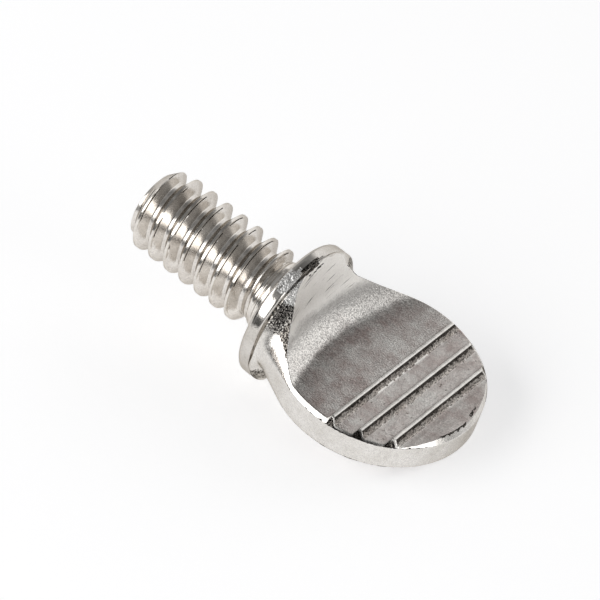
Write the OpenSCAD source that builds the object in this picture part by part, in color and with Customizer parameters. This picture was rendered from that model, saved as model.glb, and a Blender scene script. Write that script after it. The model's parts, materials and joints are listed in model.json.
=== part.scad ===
// Thumb screw with a flat spade head, forged in one piece of steel: a rolled thread, a plain neck, a
// round collar, and a head pressed flat into a round paddle with three grip ribs across each face.
// It lies as it comes to rest, on the collar's rim and the paddle's end, with the thread in the air.

/* [Thread] */
// Outside diameter of the thread (No. 10), mm
thread_d = 4.83; // [4.4:0.01:5.6]
// Threads to the inch, which sets the pitch
threads_per_inch = 24; // [20:1:32]
// Depth of the thread from crest to root, as a share of the pitch
depth_share = 0.56; // [0.45:0.01:0.6]
// Width of the flat on the crest, as a share of the pitch
crest_share = 0.12; // [0.06:0.01:0.15]
// Length of the shank from the collar's seat to its end, mm
shank_len = 9.35; // [6:0.05:16]
// Chamfer on the shank's end, mm
end_chamfer = 0.2; // [0.05:0.01:0.4]
// Where the crest would meet the collar's seat, degrees round the screw's axis
thread_turn = 234; // [0:1:359]

/* [Neck] */
// Diameter of the plain neck between thread and collar, mm
neck_d = 4.24; // [3.6:0.02:4.6]
// Length of the plain neck, up to the collar's seat, mm
neck_len = 1.15; // [0.8:0.05:3]
// Radius of the fillet from the neck into the seat, mm
seat_fillet = 0.45; // [0.1:0.05:0.7]

/* [Collar] */
// Diameter of the collar, mm
collar_d = 8.1; // [7.6:0.05:10]
// Thickness of the collar, mm
collar_t = 0.8; // [0.6:0.05:1.2]
// Radius of the round on the collar's seat side, mm
collar_round = 0.35; // [0.1:0.05:0.5]
// Chamfer on the collar's back edge, mm
collar_chamfer = 0.08; // [0.02:0.01:0.15]

/* [Hub] */
// How far the hub behind the collar stays inside the collar's rim, mm
hub_step = 0.1; // [0.05:0.01:0.3]
// Length of the round part of the hub behind the collar, mm
hub_len = 0.6; // [0.3:0.05:1]
// Lean of the hub's cone towards the paddle, degrees from the screw's axis
hub_lean = 50; // [40:1:60]

/* [Paddle] */
// Diameter of the paddle's round outline, mm
paddle_d = 11.35; // [10.4:0.05:14]
// Height of the head from the collar's seat to the paddle's end, mm
head_len = 11.9; // [11:0.05:15]
// Thickness of the paddle between its two flat faces, mm
paddle_t = 1.9; // [1.5:0.05:2.6]
// Height of the upright wall round the paddle's rim, mm
rim_wall = 1.42; // [0.8:0.02:1.44]
// Lean of the bevel from the rim's wall in to the flat faces, degrees from upright
bevel_lean = 42; // [30:1:50]

/* [Scoops] */
// Lean of the scoop's steep wall behind the collar, degrees from the collar's plane
scoop_lean = 25; // [15:1:35]
// Radius where the scoop's wall runs out into the flat face, mm
scoop_round = 1.6; // [0.6:0.1:2.4]
// Radius of the scoop's bow across the paddle, mm
scoop_bow = 18; // [12:1:40]

/* [Ribs] */
// Number of grip ribs across each face
rib_count = 3; // [1:1:3]
// Distance from the collar's seat to the first rib, mm
first_rib = 6.86; // [6.2:0.02:7.4]
// Distance from one rib to the next, mm
rib_pitch = 1.49; // [1.1:0.01:1.6]
// Height of a rib above the flat face, mm
rib_h = 0.2; // [0.1:0.01:0.35]
// How far the strips between the ribs are pressed in below the flat face, mm
rib_sink = 0.1; // [0.02:0.01:0.2]
// Width of a rib's flat top, mm
rib_top = 0.22; // [0.1:0.01:0.3]
// Run of a rib's steep side towards the collar, mm
rib_front = 0.13; // [0.02:0.01:0.2]
// Run of a rib's steep upper side towards the paddle's end, mm
rib_back = 0.15; // [0.05:0.01:0.2]
// Run of the shallow foot below it, mm
rib_foot = 0.24; // [0.05:0.01:0.35]
// Height of the shallow foot, mm
rib_foot_h = 0.07; // [0.02:0.01:0.1]

/* [Hidden] */
// The one node of the part
// Which node to show, or all of them

// Facets of a full turn on the round surfaces
$fn = 96;
// Facets of one turn of the thread
turn_facets = 36;
// Overlap of solids that join, mm
join = 0.3;
// Well beyond any size of the part, mm
far = 40;
// Turn of the collar about its own axis that lays it on a flat, and not a corner, when it is faceted
collar_set = 2.8125;

// Thread: pitch, depth, crest and root radius, and how deep the ridge reaches into the core
pitch = 25.4 / threads_per_inch;
depth = pitch * depth_share;
crest_r = thread_d / 2;
root_r = crest_r - depth;
sink = pitch * 0.07;
// Half the flat of the crest, and half the ridge's width at its sunk foot, for flanks at 60 degrees
crest_half = pitch * crest_share / 2;
foot_half = crest_half + (depth + sink) * tan(30);
// Rounding of the crest's two edges, as drop of the crest's edges below its middle
crest_drop = pitch * 0.03;
// Length over which the root rises to the neck
root_rise = pitch * 0.4;
// Turns over which the ridge fades out at the neck
fade_out = 0.45;
// The ridge runs from outside the shank's end, where it is cut off, to where it sinks at the neck
ridge_from = -shank_len - pitch * 0.6;
ridge_to = -neck_len - pitch * 0.1;
ridge_turns = (ridge_to - ridge_from) / pitch;
ridge_steps = ceil(ridge_turns * turn_facets);

// Radii of the neck, the collar and the hub
neck_r = neck_d / 2;
collar_r = collar_d / 2;
hub_r = collar_r - hub_step;
// Where the round hub ends and its cone begins, and where the cone would meet the axis
hub_end = collar_t + hub_len;
cone_end = hub_end + hub_r * 0.6 / tan(hub_lean);
cone_r = hub_r * 0.4;

// Paddle: radius, middle, height of the flat faces and of the rim wall's edges above the mid plane
paddle_r = paddle_d / 2;
paddle_x = head_len - paddle_r;
face_z = paddle_t / 2;
wall_z = rim_wall / 2;
bevel_run = tan(bevel_lean);
// Height to which the head's blank is made before the scoops are cut
blank_z = hub_r - 0.1;

// The flanks run straight from the hub's side to where they touch the paddle's circle
flank_x = hub_end;
flank_y = hub_r;
flank_reach = norm([paddle_x - flank_x, flank_y]);
flank_turn = asin(paddle_r / flank_reach) - atan2(flank_y, paddle_x - flank_x);
flank_len = sqrt(flank_reach * flank_reach - paddle_r * paddle_r);

// Scoop: its wall starts at the collar's back edge and touches the round at the foot
scoop_axis = collar_t + scoop_bow;
wall_out = [cos(scoop_lean), sin(scoop_lean)];
foot_z = face_z + scoop_round;
foot_x = collar_t + (scoop_round + wall_out[1] * (hub_r - foot_z)) / wall_out[0];
touch = [foot_x - scoop_round * wall_out[0], foot_z - scoop_round * wall_out[1]];
top_z = collar_r + 1;
top_x = collar_t - (top_z - hub_r) * tan(scoop_lean);

// The two points the screw lies on, along the axis and out from it, and the tilt they give
rest_collar_x = collar_t - collar_chamfer;
rest_tip_x = head_len - (face_z - wall_z) * bevel_run;
rest_tilt = atan((collar_r - face_z) / (rest_tip_x - rest_collar_x));
rest_lift = rest_collar_x * sin(rest_tilt) + collar_r * cos(rest_tilt);
// Slide that brings the middle of the screw's length over the origin
rest_slide = (shank_len - head_len) / 2 * cos(rest_tilt);

// How far the ridge stands at a place along the helix: 0 sunk in the core, 1 full height
function stand(turn) = max(0, min(1, (ridge_turns - turn) / fade_out));

// The ridge's section at one step, from its foot on the end side round the crest to the other foot
function section(turn) =
    let (
        x = ridge_from + pitch * turn,
        angle = 360 * x / pitch + thread_turn,
        top = root_r - sink / 2 + (depth + sink / 2) * stand(turn),
        foot = root_r - sink
    ) [
        for (p = [
            [-foot_half, foot],
            [-crest_half, top - crest_drop],
            [0, top],
            [crest_half, top - crest_drop],
            [foot_half, foot]
        ]) [x + p[0], p[1] * cos(angle), p[1] * sin(angle)]
    ];

// The helical ridge of the thread, closed at both ends
module ridge() {
    sections = [for (i = [0 : ridge_steps]) section(i * ridge_turns / ridge_steps)];
    corners = len(sections[0]);
    points = [for (s = sections) for (p = s) p];
    sides = [
        for (i = [0 : ridge_steps - 1])
            for (j = [0 : corners - 1])
                let (
                    a = i * corners + j,
                    b = i * corners + (j + 1) % corners,
                    c = b + corners,
                    d = a + corners
                ) for (t = [[a, b, c], [a, c, d]]) t
    ];
    first = [for (j = [corners - 1 : -1 : 0]) j];
    last = [for (j = [0 : corners - 1]) ridge_steps * corners + j];
    polyhedron(points = points, faces = concat(sides, [first, last]), convexity = 10);
}

// Turns a profile of [radius, place along the axis] round the screw's axis, which is X
module turned() {
    rotate([0, 90, 0])
        rotate_extrude()
            children();
}

// The core under the thread, the neck and the fillet into the seat, with the collar on top
module shank_and_collar() {
    turned()
        union() {
            polygon([
                [0, -shank_len],
                [root_r - end_chamfer, -shank_len],
                [root_r, -shank_len + end_chamfer],
                [root_r, -neck_len - root_rise],
                [neck_r, -neck_len],
                [neck_r, join],
                [0, join]
            ]);
            difference() {
                translate([0, -seat_fillet])
                    square([neck_r + seat_fillet, seat_fillet + join]);
                translate([neck_r + seat_fillet, -seat_fillet])
                    circle(r = seat_fillet);
            }
            polygon([
                [0, 0],
                [collar_r - collar_round, 0],
                [collar_r - collar_round, collar_round],
                [collar_r, collar_round],
                [collar_r, collar_t - collar_chamfer],
                [collar_r - collar_chamfer, collar_t],
                [0, collar_t]
            ]);
            translate([collar_r - collar_round, collar_round])
                circle(r = collar_round);
        }
}

// The thread, cut off square and chamfered at the shank's end
module thread() {
    intersection() {
        ridge();
        turned()
            polygon([
                [0, -shank_len],
                [crest_r - end_chamfer * 1.5, -shank_len],
                [crest_r + join, -shank_len + end_chamfer * 1.5 + join],
                [crest_r + join, 0],
                [0, 0]
            ]);
    }
}

// The round hub behind the collar, running into its cone
module hub() {
    turned()
        polygon([
            [0, 0],
            [hub_r, 0],
            [hub_r, hub_end],
            [cone_r, cone_end],
            [0, cone_end]
        ]);
}

// The paddle's round body with its upright rim and the bevels above and below it
module paddle_round() {
    translate([paddle_x, 0, 0])
        rotate_extrude()
            polygon([
                [0, -blank_z],
                [paddle_r - (blank_z - wall_z) * bevel_run, -blank_z],
                [paddle_r, -wall_z],
                [paddle_r, wall_z],
                [paddle_r - (blank_z - wall_z) * bevel_run, blank_z],
                [0, blank_z]
            ]);
}

// One bevel of a flank, as the block that is taken off above the rim's wall
module flank_bevel() {
    translate([flank_x, flank_y, wall_z])
        rotate([0, 0, flank_turn])
            rotate([bevel_lean, 0, 0])
                translate([-far / 2, 0, -far / 2])
                    cube([far, far, far]);
}

// The two flanks between the hub and the paddle, bevelled like the paddle's rim
module flanks() {
    difference() {
        linear_extrude(height = 2 * blank_z, center = true)
            polygon([
                [collar_t, -flank_y + hub_len * tan(flank_turn)],
                [flank_x + flank_len * cos(flank_turn), -flank_y - flank_len * sin(flank_turn)],
                [paddle_x, 0],
                [flank_x + flank_len * cos(flank_turn), flank_y + flank_len * sin(flank_turn)],
                [collar_t, flank_y - hub_len * tan(flank_turn)]
            ]);
        for (side = [0, 1])
            for (face = [0, 1])
                mirror([0, side, 0])
                    mirror([0, 0, face])
                        flank_bevel();
    }
}

// The space a scoop takes out above one face: flat over the face, rising in a bowed wall to the collar
module scoop() {
    translate([scoop_axis, 0, 0])
        rotate_extrude()
            union() {
                polygon([
                    [0, face_z],
                    [scoop_axis - foot_x, face_z],
                    [scoop_axis - foot_x, foot_z],
                    [scoop_axis - touch[0], touch[1]],
                    [scoop_axis - top_x, top_z],
                    [0, top_z]
                ]);
                translate([scoop_axis - foot_x, foot_z])
                    circle(r = scoop_round);
            }
}

// Runs a profile of [place along the axis, height] right across the paddle
module across() {
    rotate([90, 0, 0])
        linear_extrude(height = 2 * paddle_d, center = true)
            children();
}

// What is pressed in between the first rib and the last on one face
module strips() {
    across()
        translate([first_rib + rib_top / 2, face_z - rib_sink])
            square([(rib_count - 1) * rib_pitch, 1]);
}

// The grip ribs across one face, ended by the rim's bevel
module ribs() {
    intersection() {
        paddle_round();
        across()
            for (i = [0 : rib_count - 1])
                translate([first_rib + i * rib_pitch, face_z])
                    polygon([
                        [-rib_front, -rib_sink],
                        [-rib_front, -join],
                        [rib_top + rib_back + rib_foot, -join],
                        [rib_top + rib_back + rib_foot, -rib_sink],
                        [rib_top + rib_back, rib_foot_h - rib_sink],
                        [rib_top, rib_h],
                        [0, rib_h]
                    ]);
    }
}

// The head: hub, flanks and paddle in one, scooped out above and below, with its ribs
module head() {
    difference() {
        union() {
            hub();
            flanks();
            paddle_round();
        }
        scoop();
        mirror([0, 0, 1])
            scoop();
        if (rib_count > 1) {
            strips();
            mirror([0, 0, 1])
                strips();
        }
    }
    ribs();
    mirror([0, 0, 1])
        ribs();
}

// The whole screw, laid down on the collar's rim and the paddle's end
module thumb_screw() {
    color([0.72, 0.71, 0.69])
        translate([rest_slide, 0, rest_lift])
            rotate([0, rest_tilt, 0])
                union() {
                    head();
                    rotate([collar_set, 0, 0])
                        shank_and_collar();
                    thread();
                }
}

thumb_screw();
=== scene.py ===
import json
import math

import bmesh
import bpy
from mathutils import Matrix, Vector, noise


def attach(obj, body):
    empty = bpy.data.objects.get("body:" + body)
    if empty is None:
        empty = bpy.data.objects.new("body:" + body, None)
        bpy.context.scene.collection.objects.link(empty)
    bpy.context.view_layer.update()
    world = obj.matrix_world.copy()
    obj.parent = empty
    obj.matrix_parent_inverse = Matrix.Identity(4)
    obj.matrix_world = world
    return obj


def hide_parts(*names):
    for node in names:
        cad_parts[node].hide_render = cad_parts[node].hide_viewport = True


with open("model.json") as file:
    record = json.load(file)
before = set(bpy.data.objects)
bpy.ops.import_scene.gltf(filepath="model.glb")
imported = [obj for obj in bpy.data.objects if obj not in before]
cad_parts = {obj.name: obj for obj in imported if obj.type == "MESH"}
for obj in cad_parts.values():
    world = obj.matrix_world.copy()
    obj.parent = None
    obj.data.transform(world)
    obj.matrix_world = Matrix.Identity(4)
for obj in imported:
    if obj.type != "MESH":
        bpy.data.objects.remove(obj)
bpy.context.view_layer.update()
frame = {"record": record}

# ---------------------------------------------------------------------------------------------
# The screw's own axis. The screw is one forging that lies on its collar's rim and its paddle's end,
# so its axis is tilted. The seat's mount gives the middle of the collar's seat and the way the shank
# points. Everything up to the floor is worked out in millimetres along that axis from the seat.
# ---------------------------------------------------------------------------------------------
seat_mount = next(m for m in frame["record"]["mounts"] if m["name"] == "seat")
along = -Vector(seat_mount["axis"]).normalized()
side = Vector((0, 1, 0))
out = along.cross(side).normalized()
seat = Vector(seat_mount["pos_m"])
seat.y = 0
tilted = Matrix((along, side, out)).transposed().to_4x4()
lie_down = Matrix.Translation(seat) @ tilted @ Matrix.Scale(0.001, 4)

# ---------------------------------------------------------------------------------------------
# Thread. Rolled on a steel blank between two dies: a single right-hand ridge with 60 degree flanks
# and crests that the rolling leaves narrow and round, fading into a plain neck by the collar. Its
# shank ends in a short cone and a shallow hollow, where the blank was sheared.
# ---------------------------------------------------------------------------------------------
pitch = 25.4 / 24
crest_r = 2.415
root_r = crest_r - 0.56 * pitch
neck_r = 2.12
shank_end = -9.35
end_cut = shank_end + 0.06
end_r = 1.8
# Where the ridge has sunk into the neck, and over how many turns
thread_stop, sink_turns = -1.0, 0.5
# Where this rolled neck is joined to the turned one by the seat
neck_join = -0.58
# Where the crest would meet the seat, in turns round the axis
thread_turn = 234 / 360
thread_turns = 11
turn_steps = 144


def smooth_step(low, high, value):
    """0 below the low value, 1 above the high one, and a smooth rise between them."""
    t = max(0.0, min(1.0, (value - low) / (high - low)))
    return t * t * (3 - 2 * t)


def soft_max(a, b, blend):
    """The larger of two values, with a round where they cross."""
    h = max(blend - abs(a - b), 0.0) / blend
    return max(a, b) + h * h * blend / 4


# One groove and one ridge, as (place along the axis from the crest, height above the root as a share of the
# depth). The flanks are rounded into the root and cut off flat, and the dies squeeze the crest up a little
# more, which leaves a step along both its edges.
flank_run = (crest_r - root_r) * math.tan(math.radians(30))
crest_half = 0.06 * pitch
root_round, crest_cut, crest_round, crest_squeeze = 0.16, 0.93, 0.05, 0.07
step_from, step_to = 0.062, 0.086
crest_to_root = (
    0, 0.03, 0.06, 0.076, 0.087, 0.1, 0.12, 0.15, 0.22, 0.3, 0.35, 0.38, 0.405, 0.43, 0.46, 0.5
)
ridge_shape = []
for share in [-s for s in crest_to_root[:0:-1]] + list(crest_to_root[:-1]):
    rise = soft_max(1 - (abs(share) * pitch - crest_half) / flank_run, 0.0, root_round)
    rise = -soft_max(-rise, -crest_cut, crest_round)
    rise += crest_squeeze * (1 - smooth_step(step_from, step_to, abs(share)))
    ridge_shape.append((share * pitch, rise))

# The line of all the grooves is turned once round while it moves on by one pitch
screw = bmesh.new()
last = None
for turn in range(1 - thread_turns, 1):
    for place, rise in ridge_shape:
        x = (turn - thread_turn) * pitch + place
        corner = screw.verts.new((x, root_r + rise * (crest_r - root_r), 0))
        if last:
            screw.edges.new((last, corner))
        last = corner
bmesh.ops.spin(
    screw,
    geom=screw.verts[:] + screw.edges[:],
    cent=(0, 0, 0),
    axis=(1, 0, 0),
    dvec=(pitch / turn_steps, 0, 0),
    angle=math.tau,
    steps=turn_steps,
)
bmesh.ops.remove_doubles(screw, verts=screw.verts[:], dist=0.002)


def folding(point):
    """How much the rolled metal folds over at a point: it does so only here and there along the thread."""
    return noise.noise(point * 0.8 + Vector((5, 0, 0)))


# The root rises to the neck over this stretch, in pitches from where the thread stops, with a small blend
neck_rise_from, neck_rise_to, neck_blend = -0.35, 0.12, 0.06
# Rings on the neck, where the dies run out: where they fade in and out, and their step and half depth
rings_from, rings_full, rings_fade, rings_to = -1.7, -1.2, -0.66, -0.6
ring_step, ring_half = 0.24, 0.026
# A fold along each edge of the crest: its place and half width in pitches, and its depth
fold_place, fold_half, fold_depth = 0.1, 0.022, 0.05
# The small round where the end's cone meets the thread
cone_blend = 0.05

for v in screw.verts:
    turn = math.atan2(v.co.z, v.co.y) / math.tau
    radius = math.hypot(v.co.y, v.co.z)
    crest_x = pitch * (round(v.co.x / pitch - turn + thread_turn) + turn - thread_turn)
    ridge = root_r + (radius - root_r) * smooth_step(0, sink_turns, (thread_stop - crest_x) / pitch)
    core = root_r + (neck_r - root_r) * smooth_step(
        thread_stop + neck_rise_from * pitch, thread_stop + neck_rise_to * pitch, v.co.x
    )
    new = soft_max(core, ridge, neck_blend) if core > root_r else ridge
    rings = smooth_step(rings_from, rings_full, v.co.x) * (1 - smooth_step(rings_fade, rings_to, v.co.x))
    new -= ring_half * rings * (1 + math.cos(v.co.x * math.tau / ring_step))
    # the shank's end is turned to a 45 degree cone that takes the first thread's crest away
    cone = end_r + v.co.x - shank_end
    new = -soft_max(-new, -cone, cone_blend)
    # the rolled steel is never quite even, and the crest's edges are folded over here and there
    new -= 0.008 * (1 + noise.noise(v.co * 1.3)) + 0.004 * (1 + noise.noise(v.co * 4.0))
    from_fold = abs(abs(v.co.x - crest_x) / pitch - fold_place)
    new -= fold_depth * smooth_step(-0.05, 0.25, folding(v.co)) * (1 - smooth_step(0.0, fold_half, from_fold))
    v.co.y *= new / radius
    v.co.z *= new / radius

for cut, way in ((end_cut, 1), (neck_join, -1)):
    bmesh.ops.bisect_plane(
        screw,
        geom=screw.verts[:] + screw.edges[:] + screw.faces[:],
        dist=0.004,
        plane_co=(cut, 0, 0),
        plane_no=(-way, 0, 0),
        clear_outer=True,
    )
    for v in screw.verts:
        if v.is_boundary and abs(v.co.x - cut) < 0.005:
            v.co.x = cut


def open_loop(shape, x):
    """The open edges that lie in one plane across the axis."""
    return [e for e in shape.edges if e.is_boundary and all(abs(v.co.x - x) < 1e-4 for v in e.verts)]


# The end face, as (radius, how deep it lies): a small rounded edge, then the shallow hollow
rim = open_loop(screw, end_cut)
end_rings = ((1.76, 0.02), (1.7, 0.0), (1.55, 0.0), (1.3, 0.03), (0.9, 0.06), (0.45, 0.07), (0.12, 0.07))
for radius, hollow in end_rings:
    grown = bmesh.ops.extrude_edge_only(screw, edges=rim)["geom"]
    for v in (g for g in grown if isinstance(g, bmesh.types.BMVert)):
        shrink = radius / math.hypot(v.co.y, v.co.z)
        v.co = (shank_end + hollow, v.co.y * shrink, v.co.z * shrink)
    rim = [g for g in grown if isinstance(g, bmesh.types.BMEdge)]
bmesh.ops.holes_fill(screw, edges=rim)


def colour(text):
    """An sRGB hex colour as the linear values that a shader takes."""
    parts = [int(text[i:i + 2], 16) / 255 for i in (1, 3, 5)]
    return tuple(p / 12.92 if p <= 0.04045 else ((p + 0.055) / 1.055) ** 2.4 for p in parts) + (1.0,)


def add_node(tree, kind, links=(), **settings):
    """Adds a node, sets its properties and unlinked inputs, and links its inputs."""
    node = tree.nodes.new(kind)
    for name, value in settings.items():
        setattr(node, name, value)
    for name, value in links:
        socket = node.inputs[name]
        if isinstance(value, bpy.types.NodeSocket):
            tree.links.new(value, socket)
        else:
            socket.default_value = value
    return node


def bowed_place(tree, apart):
    """Place along the screw that follows the bow of the scoop's wall across the paddle."""
    bow_per_mm = 0.0325
    square = add_node(tree, "ShaderNodeMath", [(0, apart["Y"]), (1, apart["Y"])], operation="MULTIPLY")
    return add_node(
        tree,
        "ShaderNodeMath",
        [(0, square.outputs["Value"]), (1, -bow_per_mm), (2, apart["X"])],
        operation="MULTIPLY_ADD",
    ).outputs["Value"]


def line_place(tree, place, apart, lines):
    """The place stretched along the way a tool moved: round the axis, upright, or down a bowed wall."""
    if lines == "round":
        across = add_node(tree, "ShaderNodeCombineXYZ", [("X", apart["Y"]), ("Y", apart["Z"])])
        radius = add_node(tree, "ShaderNodeVectorMath", [(0, across.outputs["Vector"])], operation="LENGTH")
        ring = add_node(tree, "ShaderNodeCombineXYZ", [("X", apart["X"]), ("Y", radius.outputs["Value"])])
        return ring.outputs["Vector"]
    if lines == "upright":
        tall = add_node(tree, "ShaderNodeMapping", [("Vector", place), ("Scale", (1, 1, 0.06))])
        return tall.outputs["Vector"]
    if lines == "bowed":
        slant = add_node(
            tree,
            "ShaderNodeMath",
            [(0, apart["Y"]), (1, 0.1), (2, bowed_place(tree, apart))],
            operation="MULTIPLY_ADD",
        ).outputs["Value"]
        down = add_node(tree, "ShaderNodeCombineXYZ", [("X", slant), ("Y", apart["Y"])]).outputs["Vector"]
        drawn = add_node(tree, "ShaderNodeMapping", [("Vector", down), ("Scale", (2.4, 0.07, 1))])
        return drawn.outputs["Vector"]
    return place


def plated_steel(name, tones, specks, shine, line_depth, grain_size, grain_depth, lines="", dulled_and_shaded=()):
    """Nickel plate over worked steel: its light and its clouded tone, its specks, its shine and its marks.

    Patterns are worked out in millimetres along and across the screw. Lines come from a cutting, rolling or
    pressing tool and follow the way it moved. Grain is what a die or a shear leaves, drawn as coarse as it
    needs to show. specks gives the part of the grain that is dark (from, to) and how much light is left
    there, and shine the roughness in the grain's low and high spots. Where the plate is made duller and
    painted darker as shade, each entry gives a place along the face, how much light the painted shade leaves
    there, and how far the clouds and the specks show.
    """
    material = bpy.data.materials.new(name)
    material.use_nodes = True
    tree = material.node_tree
    tree.nodes.clear()
    upright = lie_down.inverted()
    place = add_node(
        tree,
        "ShaderNodeMapping",
        [
            ("Vector", add_node(tree, "ShaderNodeTexCoord").outputs["Object"]),
            ("Location", upright.to_translation()),
            ("Rotation", upright.to_euler()),
            ("Scale", upright.to_scale()),
        ],
    ).outputs["Vector"]
    apart = add_node(tree, "ShaderNodeSeparateXYZ", [("Vector", place)]).outputs
    worked = line_place(tree, place, apart, lines)
    lines_per_mm, clouds_per_mm = 9.0, 0.8
    line = add_node(
        tree, "ShaderNodeTexNoise", [("Vector", worked), ("Scale", lines_per_mm), ("Detail", 4.0)]
    ).outputs["Fac"]
    grain = add_node(
        tree,
        "ShaderNodeTexNoise",
        [("Vector", place), ("Scale", 1 / grain_size), ("Detail", 3.0), ("Roughness", 0.6)],
    ).outputs["Fac"]
    cloud = add_node(
        tree,
        "ShaderNodeTexNoise",
        [("Vector", place), ("Scale", clouds_per_mm), ("Detail", 8.0), ("Roughness", 0.7)],
    ).outputs["Fac"]
    clouds = add_node(
        tree, "ShaderNodeMapRange", [("Value", cloud), ("From Min", 0.35), ("From Max", 0.65)]
    ).outputs["Result"]
    speck = add_node(
        tree,
        "ShaderNodeMapRange",
        [
            ("Value", grain),
            ("From Min", specks[0]),
            ("From Max", specks[1]),
            ("To Min", 1.0),
            ("To Max", specks[2]),
        ],
    ).outputs["Result"]
    rough = add_node(
        tree,
        "ShaderNodeMapRange",
        [("Value", grain), ("From Min", 0.3), ("From Max", 0.7), ("To Min", shine[0]), ("To Max", shine[1])],
    ).outputs["Result"]
    light = None
    if dulled_and_shaded:
        # the ramp runs over 12 mm of the face, and the clouds move its edges by up to a third of a mm
        ramp_length, uneven = 12, 0.7
        wavy = add_node(
            tree,
            "ShaderNodeMath",
            [(0, cloud), (1, uneven), (2, bowed_place(tree, apart))],
            operation="MULTIPLY_ADD",
        ).outputs["Value"]
        short = add_node(
            tree,
            "ShaderNodeMath",
            [(0, wavy), (1, 1 / ramp_length), (2, -uneven / 2 / ramp_length)],
            operation="MULTIPLY_ADD",
        ).outputs["Value"]
        ramp = add_node(tree, "ShaderNodeValToRGB", [("Fac", short)])
        stops = ramp.color_ramp.elements
        stops.remove(stops[-1])
        for i, (x, left, clouded, specked) in enumerate(dulled_and_shaded):
            stop = stops.new(x / ramp_length) if i else stops[0]
            stop.position, stop.color = x / ramp_length, (left, clouded, left, specked)
        # the ramp's red share is painted shade along the face, and its green and alpha shares are the clouds
        # and the specks
        shown = add_node(tree, "ShaderNodeSeparateColor", [("Color", ramp.outputs["Color"])]).outputs
        # where the specks are few, the die drew the steel along and left it duller, with dark lines
        drawn_roughness = 0.3
        drawn = add_node(
            tree, "ShaderNodeMath", [(0, 1.0), (1, ramp.outputs["Alpha"])], operation="SUBTRACT"
        ).outputs["Value"]
        mark = add_node(
            tree,
            "ShaderNodeMapRange",
            [("Value", line), ("From Min", 0.6), ("From Max", 0.72), ("To Max", drawn)],
        ).outputs["Result"]
        light = add_node(
            tree,
            "ShaderNodeMix",
            [("Factor", mark), (6, shown["Red"]), (7, colour("#827d78"))],
            data_type="RGBA",
        ).outputs[2]
        clouds = add_node(
            tree, "ShaderNodeMath", [(0, clouds), (1, shown["Green"])], operation="MULTIPLY"
        ).outputs["Value"]
        speck = add_node(
            tree, "ShaderNodeMix", [(0, ramp.outputs["Alpha"]), (2, 1.0), (3, speck)], data_type="FLOAT"
        ).outputs[0]
        rough = add_node(
            tree, "ShaderNodeMath", [(0, drawn), (1, drawn_roughness), (2, rough)], operation="MULTIPLY_ADD"
        ).outputs["Value"]
    tone = add_node(
        tree,
        "ShaderNodeMix",
        [("Factor", clouds), (6, colour(tones[0])), (7, colour(tones[1]))],
        data_type="RGBA",
    ).outputs[2]
    for share in (speck, light) if light else (speck,):
        tone = add_node(
            tree,
            "ShaderNodeMix",
            [("Factor", 1.0), (6, tone), (7, share)],
            data_type="RGBA",
            blend_type="MULTIPLY",
        ).outputs[2]
    lined = add_node(
        tree, "ShaderNodeBump", [("Height", line), ("Strength", 1.0), ("Distance", line_depth * 0.001)]
    ).outputs["Normal"]
    grained = add_node(
        tree,
        "ShaderNodeBump",
        [("Height", grain), ("Strength", 1.0), ("Distance", grain_depth * 0.001), ("Normal", lined)],
    ).outputs["Normal"]
    # seen almost edge-on, plated nickel is a little darker than it is face-on
    metal = add_node(
        tree,
        "ShaderNodeBsdfPrincipled",
        [
            ("Base Color", tone),
            ("Metallic", 1.0),
            ("Roughness", rough),
            ("Specular Tint", colour("#c8c4be")),
            ("Normal", grained),
        ],
    )
    add_node(tree, "ShaderNodeOutputMaterial", [("Surface", metal.outputs["BSDF"])])
    return material


# The dies rub the crests and the neck bright, so that they glint in thin lines
crest_nickel = plated_steel(
    "nickel_on_thread_crests", tones=("#efebe5", "#d8d2cb"), specks=(0.4, 0.7, 0.88), shine=(0.1, 0.22),
    line_depth=0.005, grain_size=0.09, grain_depth=0.002, lines="round",
)
# The flanks and roots between them stay duller, with soft streaks round the screw
flank_nickel = plated_steel(
    "nickel_on_thread_flanks", tones=("#f2eee9", "#d6d0c9"), specks=(0.4, 0.7, 0.86), shine=(0.16, 0.3),
    line_depth=0.005, grain_size=0.09, grain_depth=0.002, lines="round",
)
# A nearly black finish between a few bright grains. It paints shade and dark reflections along the thread's
# folds, at the hub's corner, between the ribs' ends and along the bevel's foot, and marks dark spots on the
# collar and the paddle's end
black_nickel_and_painted_shade = plated_steel(
    "dark_nickel_and_painted_shade", tones=("#9b958e", "#7d7771"), specks=(0.38, 0.52, 0.03), shine=(0.2, 0.35),
    line_depth=0.01, grain_size=0.08, grain_depth=0.012,
)

# A fold's dark line is painted dark, as a reflection: it lies this far from the crest, in pitches, only on
# this stretch of each turn, and stops this many pitches before the thread does. The rubbed band takes in the
# crest and what lies just below it.
fold_line_from, fold_line_to = 0.087, 0.125
fold_turn_from, fold_turn_to = 0.17, 0.48
fold_stop = 0.4
rubbed_band, rubbed_neck = 0.09, -1.2


def thread_finish(middle, jagged):
    """The finish of a spot on the thread, the neck or the end face."""
    turn = math.atan2(middle.z, middle.y) / math.tau
    from_crest = abs((middle.x / pitch - turn + thread_turn + 0.5) % 1 - 0.5)
    # a fold's line on this stretch of each turn is painted dark, as a reflection
    if (
        fold_line_from < from_crest < fold_line_to
        and fold_turn_from < turn < fold_turn_to
        and middle.x < thread_stop - fold_stop * pitch
        and folding(middle) > -0.2 + 0.1 * jagged
    ):
        return black_nickel_and_painted_shade
    on_crest = math.hypot(middle.y, middle.z) > crest_r - rubbed_band
    return crest_nickel if on_crest or middle.x > rubbed_neck else flank_nickel


# ---------------------------------------------------------------------------------------------
# Neck, seat and collar. Upset from the same blank in the heading die and turned all round: a plain
# neck, a fillet into the seat, a rounded front edge, an upright rim and a sharp back edge.
# ---------------------------------------------------------------------------------------------
collar_r = 4.05
collar_t = 0.8
seat_fillet = 0.45
front_round = 0.35
back_edge = 0.08
hub_r = 3.95
join_gap = 0.03
round_steps = 8

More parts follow.
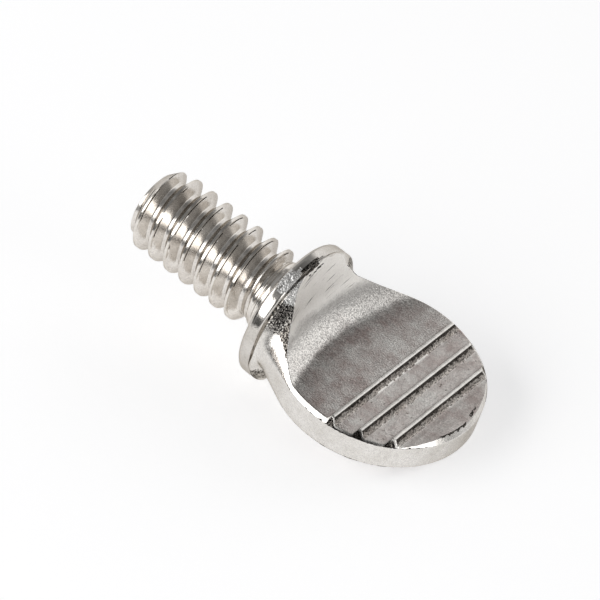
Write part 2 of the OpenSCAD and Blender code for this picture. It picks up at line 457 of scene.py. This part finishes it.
# The line that is turned, as (place along the axis, radius), with a few extra rings on the seat and the rim
turned = [(neck_join + join_gap, neck_r), (-0.5, neck_r)]
quarter = [math.radians(90 * i / round_steps) for i in range(round_steps + 1)]
turned += [(seat_fillet * (math.sin(a) - 1), neck_r + seat_fillet * (1 - math.cos(a))) for a in quarter]
turned += [(0, 2.9), (0, 3.3)]
turned += [(front_round * (1 - math.cos(a)), collar_r - front_round * (1 - math.sin(a))) for a in quarter]
turned += [(0.45, collar_r), (0.6, collar_r), (collar_t - back_edge - 0.02, collar_r)]
turned += [(collar_t - back_edge + 0.015, collar_r - 0.012), (collar_t - 0.02, collar_r - back_edge + 0.015)]
turned += [(collar_t, collar_r - back_edge - 0.008)]
last = None
lathe = bmesh.new()
for x, r in turned:
    corner = lathe.verts.new((x, r, 0))
    if last:
        lathe.edges.new((last, corner))
    last = corner
bmesh.ops.spin(
    lathe,
    geom=lathe.verts[:] + lathe.edges[:],
    cent=(0, 0, 0),
    axis=(1, 0, 0),
    angle=math.tau,
    steps=turn_steps,
    use_merge=True,
)


def weld_on(shape, name):
    """Adds a finished shape to the screw's one skin."""
    mesh = bpy.data.meshes.new(name)
    shape.to_mesh(mesh)
    shape.free()
    screw.from_mesh(mesh)
    bpy.data.meshes.remove(mesh)


def corner_order(part):
    """A number that rises with the lowest corners of an edge or a face."""
    number = 0
    for index in sorted(v.index for v in part.verts)[:3]:
        number = number * len(screw.verts) + index
    return number


def put_in_order():
    """Some operators leave edges and faces in another order each time, and a bridge starts from the first."""
    screw.verts.index_update()
    screw.edges.sort(key=corner_order)
    screw.faces.sort(key=corner_order)


weld_on(lathe, "collar")
put_in_order()
bmesh.ops.bridge_loops(screw, edges=open_loop(screw, neck_join) + open_loop(screw, neck_join + join_gap))

# Turned steel plates bright as a mirror, over the faint rings that the tool left
collar_nickel = plated_steel(
    "nickel_on_turned_collar", tones=("#e2ded9", "#cbc6bf"), specks=(0.4, 0.7, 0.85), shine=(0.06, 0.18),
    line_depth=0.004, grain_size=0.07, grain_depth=0.003, lines="round",
)
# Where a tear in the hub runs out over the collar it is left coarse, and glitters in short light streaks
rough_nickel = plated_steel(
    "nickel_on_rough_corner", tones=("#fefdfb", "#f8f6f3"), specks=(0.34, 0.42, 0.6), shine=(0.2, 0.34),
    line_depth=0.05, grain_size=0.2, grain_depth=0.14, lines="round",
)

# Where the turned part ends behind the collar
hub_start = 0.95
# The rough spot on the collar's rim: its middle, half width, and how fast it narrows to the front and back
rough_y, rough_x, rough_half, rough_narrows = -1.9, 0.55, 0.75, 1.1
# The dark patch on top, along the collar's back edge: its middle, half size both ways and lowest height. Long
# thin strands of it run along the collar, and thin out to both sides of their own middle.
dark_top_x, dark_top_y, dark_top_half_x, dark_top_half_y, dark_top_low = 0.79, -0.5, 0.2, 1.5, 2.5
strands_x, strands_y, strand_y = 16, 0.9, -0.6


def collar_finish(x, y, z, jagged):
    """The finish of a spot on the seat, the collar or the groove behind it, or None past them."""
    rough = rough_half - rough_narrows * abs(x - rough_x) + 0.3 * jagged
    if 0.1 < x < hub_start and abs(y - rough_y) < rough:
        return rough_nickel
    dark_top_reach = dark_top_half_x * (1 - ((y - dark_top_y) / dark_top_half_y) ** 2 + 0.4 * jagged)
    strand = noise.noise(Vector((x * strands_x, y * strands_y, 2.0)))
    if z > dark_top_low and abs(x - dark_top_x) < dark_top_reach and strand > 0.35 * abs(y - strand_y) - 0.35:
        return black_nickel_and_painted_shade
    if x < 0.01 or x < hub_start and math.hypot(y, z) > hub_r - 0.03:
        return collar_nickel
    return None


# ---------------------------------------------------------------------------------------------
# Head. Pressed flat between two dies from the same steel: a round hub behind the collar, two flanks
# that widen into a round paddle, a scoop down to each flat face, and three grip ribs across each.
# The trimmed rim stands upright, with a bevel from it up to the face.
# ---------------------------------------------------------------------------------------------
paddle_r = 5.674
paddle_x = 11.9 - paddle_r
face_z = 0.95
wall_z = 0.71
bevel = math.tan(math.radians(42))
scoop_lean = math.radians(25)
scoop_round = 2.5
scoop_axis = collar_t + 18.0
scoop_dip = 0.12
foot_z = face_z - scoop_dip + scoop_round
foot_x = collar_t + (scoop_round + math.sin(scoop_lean) * (hub_r - foot_z)) / math.cos(scoop_lean)
touch_x = foot_x - scoop_round * math.cos(scoop_lean)
touch_z = foot_z - scoop_round * math.sin(scoop_lean)

# The hub: where its round part ends, where it begins to lean, and the groove behind the collar
hub_end = 1.4
hub_waist = 1.05
hub_lean = math.tan(math.radians(15))
hub_groove = 0.14
hub_groove_end = 0.96
# On one side the hub keeps its full corner: a shorter groove up to the collar's rim, then a steep chamfer
# that steps down by this much in all
full_groove_end = 0.86
full_waist = 1.08
full_lean = 1.28
full_step = 0.25
# The other side's corner is worn off along a slanted plane: its lean each way, its distance from the seat's
# middle, and where and how fast it runs out along the flank
worn_x, worn_y, worn_z, worn_reach = 0.3, 0.7, 0.65, 3.95
worn_end, worn_fade = 2.0, 0.8
# The bevel's lower edge is rounded a little round the paddle, and widely by the hub
edge_round, hub_edge_round = 0.06, 0.6
edge_from, edge_to = 1.2, 4.2
# The hub runs into the flank in a round that grows away from the collar and is smaller at the full corner,
# which fills up between these heights. Beyond its last place the hub has run out.
hub_blend, full_blend, blend_from, blend_to = 0.4, 0.12, 0.85, 1.35
full_from, full_to = 0.3, 1.4
hub_last = 5.0

# The flanks run straight from the hub's side to where they touch the paddle's circle
reach = math.hypot(paddle_x - hub_end, hub_r)
flank_turn = math.asin(paddle_r / reach) - math.atan2(hub_r, paddle_x - hub_end)
meet_x = hub_end + math.sqrt(reach ** 2 - paddle_r ** 2) * math.cos(flank_turn)

# Each rib: a steep front, a narrow top, a steep back and a shallow foot, as (place, height)
rib_first, rib_pitch, rib_count = 6.86, 1.49, 3
rib_h, rib_sink = 0.2, 0.1
face_line = [(rib_first - 0.15, 0.0)]
for i in range(rib_count):
    x = rib_first + i * rib_pitch
    face_line += [(x - 0.13 if i else x - 0.1, face_line[-1][1]), (x - 0.02, rib_h)]
    face_line += [(x + 0.16, rib_h - 0.04), (x + 0.37, -rib_sink + 0.05), (x + 0.5, -rib_sink)]
face_line += [(x + 0.66, -rib_sink + 0.02), (x + 0.85, -0.04)]
# Past the last rib the face comes back to its level over this stretch
rise_fade, rise_end = 10.7, 11.4
# The face bulges: by how much a square mm, where it is highest, and the stretch over which it runs out flat
face_bulge, bulge_x, flat_from, flat_to = 0.0077, 6.9, 10.4, 11.5


def face_rise(x):
    """Height of the face above its pressed level at a place along the axis."""
    for (x0, z0), (x1, z1) in zip(face_line, face_line[1:]):
        if x0 <= x <= x1:
            return z0 + (z1 - z0) * (x - x0) / (x1 - x0) if x1 > x0 else z1
    return 0.0 if x < face_line[0][0] else face_line[-1][1] * (1 - smooth_step(rise_fade, rise_end, x))


def pressed_level(x):
    """Height of the face without its ribs: it bulges a little by the first rib, and is flat at the end."""
    return face_z - face_bulge * (x - bulge_x) ** 2 * (1 - smooth_step(flat_from, flat_to, x))


def pressed(x, y):
    """Height of the pressed surface: the scoop's bowed wall and round, cut short by the ribbed face."""
    bowed = scoop_axis - math.hypot(scoop_axis - x, y)
    face = pressed_level(x) + face_rise(x)
    if bowed < touch_x:
        return touch_z + (touch_x - bowed) / math.tan(scoop_lean)
    if bowed < foot_x:
        return soft_max(face, foot_z - math.sqrt(scoop_round ** 2 - (foot_x - bowed) ** 2), 0.008)
    return face


def outline(x):
    """Half the width of the head at its rim, and how far its edge turns from the axis."""
    if x < meet_x:
        return hub_r + (x - hub_end) * math.tan(flank_turn), math.cos(flank_turn)
    off = min(1.0, (x - paddle_x) / paddle_r)
    return paddle_r * math.sqrt(max(0.0, 1 - off * off)), 1.0


def hub(x, full=0.0):
    """Radius of the round hub: a small groove at the collar, a short cylinder, then a slight cone.

    Where it is full, it has a shorter groove and more steel, and steps down in a short chamfer.
    """
    plain = hub_r - hub_groove * (1 - smooth_step(collar_t, hub_groove_end, x))
    plain -= soft_max(0.0, (x - hub_waist) * hub_lean, 0.1)
    stepped = collar_r - hub_groove * (1 - smooth_step(collar_t, full_groove_end, x))
    stepped -= soft_max(0.0, (x - full_waist) * full_lean, 0.05)
    return plain + (soft_max(stepped, plain - full_step, 0.1) - plain) * full


def shell(x, z, hand):
    """Half the width at a height: the hub blended into the flank or the paddle, and its worn upper corner."""
    blend = edge_round + hub_edge_round * (1 - smooth_step(edge_from, edge_to, x))
    drop = soft_max(0.0, z - wall_z, blend) * bevel
    if x < meet_x:
        width, lean = outline(x)
        flank = width - drop / lean
    else:
        flank = math.sqrt(max(0.0, (paddle_r - drop) ** 2 - (x - paddle_x) ** 2))
    if x > hub_last:
        return flank
    # one side of the hub keeps its full corner, and the other is worn off
    full = smooth_step(full_from, full_to, z) if hand > 0 else 0.0
    round_side = math.sqrt(max(0.0, hub(x, full) ** 2 - z * z))
    most = hub_blend + (full_blend - hub_blend) * full
    body = soft_max(flank, round_side, 0.01 + most * smooth_step(blend_from, blend_to, x))
    if hand > 0:
        return body
    worn = (worn_reach + worn_fade * soft_max(0.0, x - worn_end, 0.5) - worn_x * x - worn_z * z) / worn_y
    return -soft_max(-body, -worn, 0.12)


def crease(x, hand):
    """Where the pressed surface meets the shell: half its width and its height, found by halving the gap."""
    low, high = 0.0, outline(x)[0] + 0.2 if x > collar_t + 0.02 else hub_r
    for _ in range(40):
        y = (low + high) / 2
        if shell(x, pressed(x, y), hand) > y:
            low = y
        else:
            high = y
    return low, pressed(x, low)


# Stations along the axis: close together by the collar and where the ribs are steep, at every corner of the
# ribs, and at even turns round the paddle's end
scoop_steps, face_steps, tip_steps = 34, 64, 26
scoop_x, ribs_x = 2.0, face_line[0][0]
steep_step, flat_step = 0.036, 0.062
stations = [collar_t + (scoop_x - collar_t) * (i / scoop_steps) ** 1.6 for i in range(scoop_steps + 1)]
stations += [scoop_x + (ribs_x - scoop_x) * i / face_steps for i in range(1, face_steps + 1)]
corners = [x for x, _ in face_line] + [rib_first + rib_pitch * (rib_count - 1) + 0.95]
for x0, x1 in zip(corners, corners[1:]):
    steep = abs(face_rise(x1 - 0.01) - face_rise(x0 + 0.01)) > 0.1
    n = max(1, round((x1 - x0) / (steep_step if steep else flat_step)))
    stations += [x0 + (x1 - x0) * i / n for i in range(1, n + 1) if x1 > x0]
tip_r = paddle_r - (face_z - wall_z) * bevel
tip_from = math.asin((stations[-1] - paddle_x) / tip_r)
tip_turns = [tip_from + (math.pi / 2 - tip_from) * i / tip_steps for i in range(1, tip_steps + 1)]
stations += [paddle_x + tip_r * math.sin(turn) for turn in tip_turns]
stations = [x for i, x in enumerate(stations) if i == 0 or x - stations[i - 1] > 1e-6]

# A flat grid is laid over the upper half: rows across the face, down both bevels and down both rim walls
face_rows, bevel_rows, wall_rows = 44, 22, 6
# How much closer together they stand towards the face's edge
row_crowding = 0.45
# Where the head is all paddle, and where the rows begin to fan out round its end and do so fully
all_paddle = 9.0
fan_from, fan_full = 10.2, 11.3
rows = 2 * (face_rows + bevel_rows + wall_rows)
end_row = len(stations) - 1
creases = {hand: [crease(x, hand) for x in stations] for hand in (-1, 1)}
for found in creases.values():
    found[0], found[-1] = (0.0, hub(collar_t)), (0.0, pressed(stations[-1], 0))
head = bmesh.new()
bmesh.ops.create_grid(head, x_segments=end_row, y_segments=rows, size=1)
for v in head.verts:
    i = round((v.co.x + 1) / 2 * end_row)
    j = round((v.co.y + 1) / 2 * rows) - rows // 2
    x = stations[i]
    hand = 1 if j >= 0 else -1
    edge_y, edge_z = creases[hand][i]
    j = abs(j)
    if j <= face_rows:
        t = j / face_rows
        y = edge_y * (math.sin(t * math.pi / 2) * row_crowding + t * (1 - row_crowding))
        z = pressed(x, y) if 0 < i < end_row else edge_z
    else:
        j -= face_rows
        if j <= bevel_rows:
            ease = 2 - smooth_step(0.8, 2.4, x)
            z = edge_z + (wall_z - edge_z) * (j / bevel_rows) ** ease
        else:
            z = wall_z * (1 - (j - bevel_rows) / wall_rows)
        r = paddle_r - max(0.0, z - wall_z) * bevel
        if i == 0:
            y = math.sqrt(max(0.0, hub(x) ** 2 - z * z))
        elif x < all_paddle:
            y = shell(x, z, hand)
        elif i < end_row:
            # the rows fan out here, so that they don't crowd at the tip
            straight = math.asin(min(1.0, (x - paddle_x) / r))
            spread = math.asin(min(1.0, (x - paddle_x) / tip_r))
            turn = straight + (spread - straight) * smooth_step(fan_from, fan_full, x)
            x, y = paddle_x + r * math.sin(turn), r * math.cos(turn)
        else:
            x, y = paddle_x + r, 0.0
    v.co = (x, y * hand, z)
bmesh.ops.remove_doubles(head, verts=head.verts[:], dist=0.0005)
bmesh.ops.dissolve_degenerate(head, edges=head.edges[:], dist=0.0004)

# The dies leave every edge a little round
for _ in range(2):
    bmesh.ops.smooth_vert(
        head,
        verts=[v for v in head.verts if not v.is_boundary and v.co.z > wall_z * 0.8],
        factor=0.4,
        use_axis_x=True,
        use_axis_y=True,
        use_axis_z=True,
    )

# Handling and the press leave the surfaces very slightly uneven, in waves of (waves a mm, height, which draw)
uneven_waves = ((0.55, 0.012, 3.1), (1.9, 0.007, 7.7), (5.0, 0.002, 1.3))
for v in head.verts:
    if v.is_boundary:
        continue
    wave = 0.0
    for per_mm, height, draw in uneven_waves:
        wave += noise.noise(Vector((v.co.x * per_mm, v.co.y * per_mm, draw))) * height
    v.co.z += wave * smooth_step(0, 0.6, v.co.z) * smooth_step(0.8, 1.6, v.co.x)

# The lower half is the upper one turned half round, because both dies are alike
under = bmesh.ops.duplicate(head, geom=head.verts[:] + head.edges[:] + head.faces[:])["geom"]
bmesh.ops.rotate(
    head,
    cent=(0, 0, 0),
    matrix=Matrix.Rotation(math.pi, 3, "X"),
    verts=[g for g in under if isinstance(g, bmesh.types.BMVert)],
)
bmesh.ops.remove_doubles(head, verts=head.verts[:], dist=0.0005)
weld_on(head, "head")
put_in_order()
bmesh.ops.bridge_loops(screw, edges=open_loop(screw, collar_t))
bmesh.ops.recalc_face_normals(screw, faces=screw.faces[:])

# Pressed faces have a fine grain that breaks up the shine, with brownish clouds. They are drawn smooth down
# the scoop's wall, bright and coarse lower down, and dull in the hollow of the face. Their tone is painted
# darker as shade in a narrow band below the wall and over the face from the scoop towards the first rib.
face_shade_and_dulling = (
    (1.8, 1.0, 0.1, 0.1), (2.1, 0.72, 0.2, 0.5), (2.4, 1.0, 0.1, 0.9), (3.22, 1.0, 0.2, 1.0),
    (3.58, 0.48, 0.6, 0.9), (3.95, 0.52, 1.0, 0.7), (4.6, 0.7, 1.0, 0.7), (5.5, 0.82, 1.0, 0.7),
    (6.8, 0.92, 1.0, 0.7), (7.3, 1.0, 0.8, 0.5), (10.8, 1.0, 0.8, 0.5),
)
face_nickel = plated_steel(
    "nickel_on_pressed_faces", tones=("#f8f5f0", "#bcaba6"), specks=(0.4, 0.66, 0.4), shine=(0.12, 0.28),
    line_depth=0.004, grain_size=0.085, grain_depth=0.018, lines="bowed", dulled_and_shaded=face_shade_and_dulling,
)
# The trimmed rim is smooth and light, with faint upright lines from the shear. The same finish paints a
# highlight at the first rib's foot
rim_nickel_and_painted_highlight = plated_steel(
    "nickel_on_rim_and_painted_highlight", tones=("#eeebe7", "#dcd8d2"), specks=(0.4, 0.7, 0.85), shine=(0.18, 0.32),
    line_depth=0.004, grain_size=0.1, grain_depth=0.004, lines="upright",
)
# The steel tears a little at the hub's upper corners, and is painted dark between bright grains, as a
# reflection
torn_nickel_painted_dark = plated_steel(
    "torn_grain_with_painted_dark_reflection", tones=("#dcd8d2", "#c9c3bc"), specks=(0.42, 0.55, 0.03), shine=(0.15, 0.35),
    line_depth=0.01, grain_size=0.09, grain_depth=0.022,
)
# The backs of the ribs have a fine grain, and are painted dark as shade
rib_back_painted_shade = plated_steel(
    "painted_shade_on_rib_backs", tones=("#77716b", "#5a5550"), specks=(0.4, 0.58, 0.12), shine=(0.2, 0.4),
    line_depth=0.006, grain_size=0.07, grain_depth=0.012,
)
# Below them, a coarse grain runs out over the ribs' feet, between the dark backs and the face; it is painted
# darker, as shade
coarse_nickel_painted_shade = plated_steel(
    "coarse_nickel_with_painted_shade", tones=("#d8d2cb", "#b4aaa2"), specks=(0.42, 0.6, 0.25), shine=(0.2, 0.4),
    line_depth=0.006, grain_size=0.09, grain_depth=0.02,
)

# Dark broken lines along the paddle's end, as (from y, to y, radius, how far they wander, half width)
end_dark_lines = ((-1.7, 0.25, 5.42, 0.06, 0.06), (0.75, 1.6, 5.28, 0.1, 0.05))
end_dark_lines_x = 11.0
# How far in from its edge the rim's finish reaches over the face, and the last place with a bevel
edge_band = 0.035
bevel_end = 11.8
# The white strip along the scoop's edge: from, to and how far it reaches down
strip_from, strip_to, strip_depth = 1.9, 3.4, 0.05
# The hub's torn corner, painted dark as a reflection: where it turns dark, its end, its lowest and highest
# height, and the low side's fall
torn_dark, torn_end, torn_low, torn_high, torn_fall = 1.75, 3.2, 1.42, 2.8, 0.2
# The end of the light, coarse part above it
light_end = 1.6
# The coarse band on the flank's bevel, painted darker as shade along the wall's top: from, to, its lowest and
# highest height, and how its top falls
band_from, band_to, band_low, band_high, band_fall = 1.8, 4.2, 0.68, 1.0, 0.11
# Painted shade on the bevel between the ribs' ends: its last place and how far it stays below the face. The
# thin painted dark line along the bevel's foot: from, to and height.
painted_shade_to, painted_shade_below = 10.25, 0.075
line_from, line_to, line_high = 5.2, 11.3, 0.03


def edge_finish(x, y, z, jagged):
    """The finish of a spot on the hub's side, the bevels or the rim."""
    if strip_from < x < strip_to and z > pressed(x, abs(y)) - strip_depth:
        return rough_nickel
    torn_top = torn_high + 0.3 * jagged
    # the hub's torn corner is painted dark, as a reflection, and darkest past its turn
    if x < torn_end and torn_low - torn_fall * (x - strip_from) + 0.12 * jagged < z < torn_top:
        return torn_nickel_painted_dark if x < torn_dark + 0.2 * jagged else black_nickel_and_painted_shade
    if y < 0 and hub_start <= x < light_end and z > torn_top:
        return rough_nickel
    # a coarse band along the top of the flank's wall, painted darker as shade
    if band_from < x < band_to and band_low < z + 0.07 * jagged < band_high - band_fall * (x - strip_from):
        return coarse_nickel_painted_shade
    # painted shade on the bevel between the ribs' ends, below the face
    if rib_first < x < painted_shade_to and wall_z + 0.03 * jagged < z < pressed_level(x) + face_rise(x) - painted_shade_below:
        return black_nickel_and_painted_shade
    # a thin painted dark line along the bevel's foot
    if line_from < x < line_to and wall_z < z < wall_z + line_high + 0.06 * jagged:
        return black_nickel_and_painted_shade
    return rim_nickel_and_painted_highlight


# A dashed light line at the first rib's foot, a painted highlight of its round: its place, half width, and
# from and to across
dash_x, dash_half, dash_from, dash_to = rib_first + 0.5, 0.05, -2, 2.6
# The ribs' rubbed tops, as a share of their height, where the painted shade on their backs stops above the
# face, and where the last one ends
rib_top, rib_back_low, ribs_end = 0.62, 0.045, 10.5


def head_finish(x, y, z, jagged, lean):
    """The finish of a spot on the head, whose surface leans this much towards the paddle's end."""
    radius = math.hypot(x - paddle_x, y)
    for y0, y1, end_dark_line_r, wander, half in end_dark_lines:
        if x > end_dark_lines_x and y0 < y < y1 and abs(radius - end_dark_line_r - wander * jagged) < half + 0.05 * jagged:
            return black_nickel_and_painted_shade
    if x >= bevel_end or z <= wall_z:
        return edge_finish(x, y, z, jagged)
    if x < all_paddle:
        edge, reached = shell(max(x, collar_t + 0.02), z, 1 if y > 0 else -1), abs(y)
    else:
        edge, reached = paddle_r - (z - wall_z) * bevel, radius
    if reached > edge - edge_band:
        return edge_finish(x, y, z, jagged)
    # bright spots: a dashed painted highlight at the first rib's foot, and the ribs' rubbed tops
    if abs(x - dash_x) < dash_half and dash_from < y < dash_to and jagged > -0.15:
        return rim_nickel_and_painted_highlight
    if rib_first - 0.2 < x < ribs_end:
        above = z - pressed_level(x)
        if above > rib_top * rib_h and lean < 0.5:
            return rim_nickel_and_painted_highlight
        # the ribs' backs, which face the paddle's end, are painted dark as shade
        if rib_first < x and lean > 0.5 and above > rib_back_low + 0.09 * jagged:
            return rib_back_painted_shade
        # the ribs' feet that face the paddle's end are painted darker, as shade
        if rib_first < x and lean > 0.2 + 0.3 * jagged:
            return coarse_nickel_painted_shade
    return face_nickel


# ---------------------------------------------------------------------------------------------
# The whole screw. One forging of steel that is tumbled and then plated with nickel in a barrel, so the
# plate is the same all over, and what the dies, the rolls and the shear left shows through it.
# ---------------------------------------------------------------------------------------------
finishes = (
    rough_nickel, crest_nickel, flank_nickel, collar_nickel, face_nickel,
    rim_nickel_and_painted_highlight, torn_nickel_painted_dark, black_nickel_and_painted_shade, rib_back_painted_shade, coarse_nickel_painted_shade,
)
for f in screw.faces:
    middle = f.calc_center_median()
    x, y, z = middle
    if z < 0:
        y, z = -y, -z
    jagged = noise.noise(middle * 5.0)
    if x < -0.05:
        finish = thread_finish(middle, jagged)
    else:
        finish = collar_finish(x, y, z, jagged) or head_finish(x, y, z, jagged, f.normal.x)
    f.material_index = finishes.index(finish)
    f.smooth = True

# Corners sharper than this stay sharp under the plate
sharp_corner = math.radians(38)
for e in screw.edges:
    if len(e.link_faces) == 2 and e.calc_face_angle() > sharp_corner:
        e.smooth = False

put_in_order()
bmesh.ops.transform(screw, matrix=lie_down, verts=screw.verts[:])
screw_mesh = bpy.data.meshes.new("forged_thumb_screw")
screw.to_mesh(screw_mesh)
screw.free()
for finish in finishes:
    screw_mesh.materials.append(finish)
forged = bpy.data.objects.new("forged_thumb_screw", screw_mesh)
bpy.context.scene.collection.objects.link(forged)
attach(forged, "root")
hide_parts("thumb_screw")

# ---------------------------------------------------------------------------------------------
# Floor. A small round sheet of matt white paper, laid on a light table so that it is lit from below as
# well as from above, and the shadow on it is faint.
# ---------------------------------------------------------------------------------------------
sheet_r = 0.09

sheet_shape = bmesh.new()
bmesh.ops.create_circle(sheet_shape, cap_ends=True, segments=64, radius=sheet_r)
sheet_mesh = bpy.data.meshes.new("white_sheet")
sheet_shape.to_mesh(sheet_mesh)
sheet_shape.free()
sheet = bpy.data.objects.new("white_sheet", sheet_mesh)
bpy.context.scene.collection.objects.link(sheet)
paper = bpy.data.materials.new("matt_white_paper")
paper.use_nodes = True
paper_tree = paper.node_tree
paper_tree.nodes.clear()
matt = add_node(paper_tree, "ShaderNodeBsdfDiffuse", [("Color", colour("#dededd"))])
glow = add_node(paper_tree, "ShaderNodeEmission", [("Color", colour("#fbfbfd")), ("Strength", 0.508)])
lit_through = add_node(paper_tree, "ShaderNodeAddShader", [(0, matt.outputs[0]), (1, glow.outputs[0])])
add_node(paper_tree, "ShaderNodeOutputMaterial", [("Surface", lit_through.outputs[0])])
sheet_mesh.materials.append(paper)


# ---------------------------------------------------------------------------------------------
# Light. A white-walled studio box that is open to the front, where the camera stands in the dark, and
# two lit cloths: a large one at the front left and a small one low on the right.
# ---------------------------------------------------------------------------------------------
def toward(turn, rise):
    """The direction at an angle from the front (toward +X) and an angle above the floor."""
    turn, rise = math.radians(turn), math.radians(rise)
    return Vector((math.sin(turn) * math.cos(rise), -math.cos(turn) * math.cos(rise), math.sin(rise)))


# The walls: white at the back and left, dark low at the front and round the camera, with dark patches
# overhead. Each patch is (turn, rise, inner and outer angle, brightness), and later ones lie over earlier.
world = bpy.data.worlds.new("studio")
bpy.context.scene.world = world
world.use_nodes = True
box = world.node_tree
box.nodes.clear()
way = add_node(box, "ShaderNodeTexCoord").outputs["Generated"]
patches = [
    (180, 10, 33, 40, 1.0),
    (150, 34, 14, 20, 1.08),
    (-115, 0, 20, 40, 0.85),
    (-62, 0, 12, 24, 0.06),
    (-20, -2, 8, 20, 0.1),
    (20, -2, 8, 20, 0.1),
    (180, 74, 8, 20, 0.16),
    (-8, 68, 11, 19, 0.18),
    (40, 30, 14, 26, 0.05),
    (122, 12, 7, 18, 0.4),
]
shade = 0.3
for turn, rise, inner, outer, brightness in patches:
    facing = add_node(
        box, "ShaderNodeVectorMath", [(0, way), (1, toward(turn, rise))], operation="DOT_PRODUCT"
    ).outputs["Value"]
    share = add_node(
        box,
        "ShaderNodeMapRange",
        [
            ("Value", facing),
            ("From Min", math.cos(math.radians(outer))),
            ("From Max", math.cos(math.radians(inner))),
        ],
        interpolation_type="SMOOTHSTEP",
    ).outputs["Result"]
    shade = add_node(
        box, "ShaderNodeMix", [(0, share), (2, shade), (3, brightness)], data_type="FLOAT"
    ).outputs[0]
room_light = add_node(box, "ShaderNodeBackground", [("Color", shade), ("Strength", 1.0)])
backdrop = add_node(box, "ShaderNodeBackground", [("Color", colour("#fbfbfd")), ("Strength", 1.0)])
seen = add_node(box, "ShaderNodeLightPath").outputs["Is Camera Ray"]
both = add_node(box, "ShaderNodeMixShader", [(0, seen), (1, room_light.outputs[0]), (2, backdrop.outputs[0])])
add_node(box, "ShaderNodeOutputWorld", [("Surface", both.outputs[0])])

cloth_distance = 0.6


def cloth(name, way_to, width, height, brightness):
    """A lit white cloth that faces the screw."""
    lamp = bpy.data.lights.new(name, "AREA")
    lamp.shape = "RECTANGLE"
    lamp.size, lamp.size_y = width, height
    lamp.energy = brightness * math.pi * width * height
    stand = bpy.data.objects.new(name, lamp)
    bpy.context.scene.collection.objects.link(stand)
    stand.location = way_to * cloth_distance
    stand.rotation_euler = way_to.to_track_quat("Z", "Y").to_euler()


cloth("front_left_cloth", toward(-37, 31), width=0.86, height=0.33, brightness=3.0)
cloth("right_cloth", toward(87, 13), width=0.32, height=0.28, brightness=2.2)

# ---------------------------------------------------------------------------------------------
# Camera. It stands off to the front right with a long lens, looks down on the screw past the seat, and
# leans a little to one side.
# ---------------------------------------------------------------------------------------------
azimuth, elevation, roll = math.radians(-35.57), math.radians(35.44), math.radians(2.61)
distance = 0.2088
# How far the line of sight passes the seat, to the right and upwards
past_right, past_up = 0.00068, 0.00027

camera = bpy.data.cameras.new("camera")
camera.sensor_width = 36.0
camera.lens = 240.36
camera.clip_start, camera.clip_end = 0.01, 10.0
eye = bpy.data.objects.new("camera", camera)
bpy.context.scene.collection.objects.link(eye)
back = Vector(
    (-math.sin(azimuth) * math.cos(elevation), -math.cos(azimuth) * math.cos(elevation), math.sin(elevation))
)
level = Vector((math.cos(azimuth), -math.sin(azimuth), 0))
rightward = level * math.cos(roll) + back.cross(level) * math.sin(roll)
upward = back.cross(rightward)
eye.location = seat + rightward * past_right + upward * past_up + back * distance
eye.rotation_euler = Matrix((rightward, upward, back)).transposed().to_euler()
bpy.context.scene.camera = eye
bpy.context.scene.view_settings.view_transform = "Standard"
